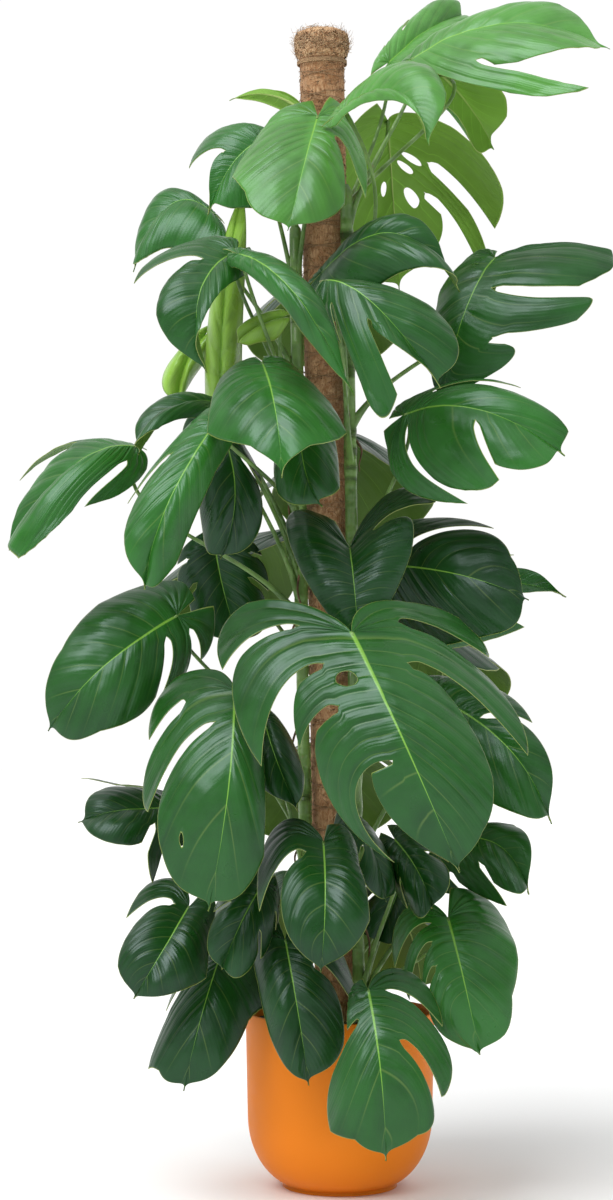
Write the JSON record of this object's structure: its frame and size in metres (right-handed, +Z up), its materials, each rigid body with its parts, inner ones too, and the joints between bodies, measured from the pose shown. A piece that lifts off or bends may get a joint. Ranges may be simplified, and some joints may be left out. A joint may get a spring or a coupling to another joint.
{
  "type": "potted swiss cheese plant",
  "caption": "Tall climbing house plant with large heart shaped leaves cut by deep slits, on a coir pole in a round tapered plastic pot.",
  "frame": {"origin": "middle of the pot's underside, on the floor", "axes": "+Z up along the plant's height, the front seen in the picture faces -Y, +X to the right as seen from the front"},
  "size_m": [0.811, 0.6922, 1.652],
  "materials": {
    "pot": "smooth matt orange plastic",
    "soil": "loose potting mix",
    "stake": "raw wood",
    "coir": "matted coconut fibre",
    "twine": "twisted natural twine",
    "stem": "smooth green stem",
    "leaf_young": "satin young leaf",
    "leaf_fresh": "satin fresh leaf",
    "leaf_middle": "glossy leaf",
    "leaf_deep": "glossy deep green leaf",
    "leaf_dark": "glossy dark green leaf"
  },
  "bodies": {
    "root": {"pot": "pot", "soil": "soil", "pole_stake": "stake", "pole_coir": "coir", "pole_twine": "twine", "stem_left": "stem", "stem_right": "stem", "stem_back": "stem", "leaf_crown_right": "leaf_fresh", "leaf_crown_back": "leaf_fresh", "leaf_crown_middle": "leaf_fresh", "leaf_crown_left": "leaf_fresh", "leaf_crown_left_behind": "leaf_middle", "leaf_crown_far_left": "leaf_fresh", "leaf_crown_turned": "leaf_fresh", "leaf_crown_far_right": "leaf_fresh", "leaf_young_spear": "leaf_young", "leaf_young_flap": "leaf_young", "leaf_young_small": "leaf_young", "leaf_upper_left": "leaf_deep", "leaf_upper_hanging": "leaf_middle", "leaf_upper_far_left": "leaf_middle", "leaf_upper_arched": "leaf_deep", "leaf_upper_right": "leaf_deep", "leaf_upper_far_right": "leaf_deep", "leaf_middle_right": "leaf_middle", "leaf_middle_bright": "leaf_middle", "leaf_middle_lobe": "leaf_deep", "leaf_middle_grey": "leaf_middle", "leaf_middle_drooping": "leaf_middle", "leaf_middle_hanging": "leaf_dark", "leaf_middle_curled": "leaf_deep", "leaf_middle_inner": "leaf_dark", "leaf_heart_left": "leaf_deep", "leaf_lower_left": "leaf_deep", "leaf_large_middle": "leaf_deep", "leaf_dark_middle": "leaf_dark", "leaf_dark_right": "leaf_dark", "leaf_back_right": "leaf_middle", "leaf_lower_right": "leaf_deep", "leaf_lower_right_small": "leaf_deep", "leaf_bottom_right": "leaf_middle", "leaf_bottom_middle": "leaf_deep", "leaf_bottom_front": "leaf_dark", "leaf_bottom_left": "leaf_dark", "leaf_bottom_far_left": "leaf_dark", "leaf_bottom_inner_left": "leaf_dark", "leaf_lower_middle": "leaf_dark", "leaf_lower_edge_on": "leaf_dark", "leaf_lower_inner": "leaf_dark", "leaf_lower_inner_right": "leaf_dark", "leaf_lower_far_left": "leaf_dark", "leaf_lower_small": "leaf_dark", "leaf_rear_bottom_left": "leaf_dark", "leaf_rear_bottom_right": "leaf_dark", "leaf_rear_lower": "leaf_dark", "leaf_rear_right": "leaf_dark", "leaf_rear_left": "leaf_dark", "leaf_rear_middle": "leaf_dark", "leaf_rear_upper": "leaf_dark"}
  },
  "joints": []
}
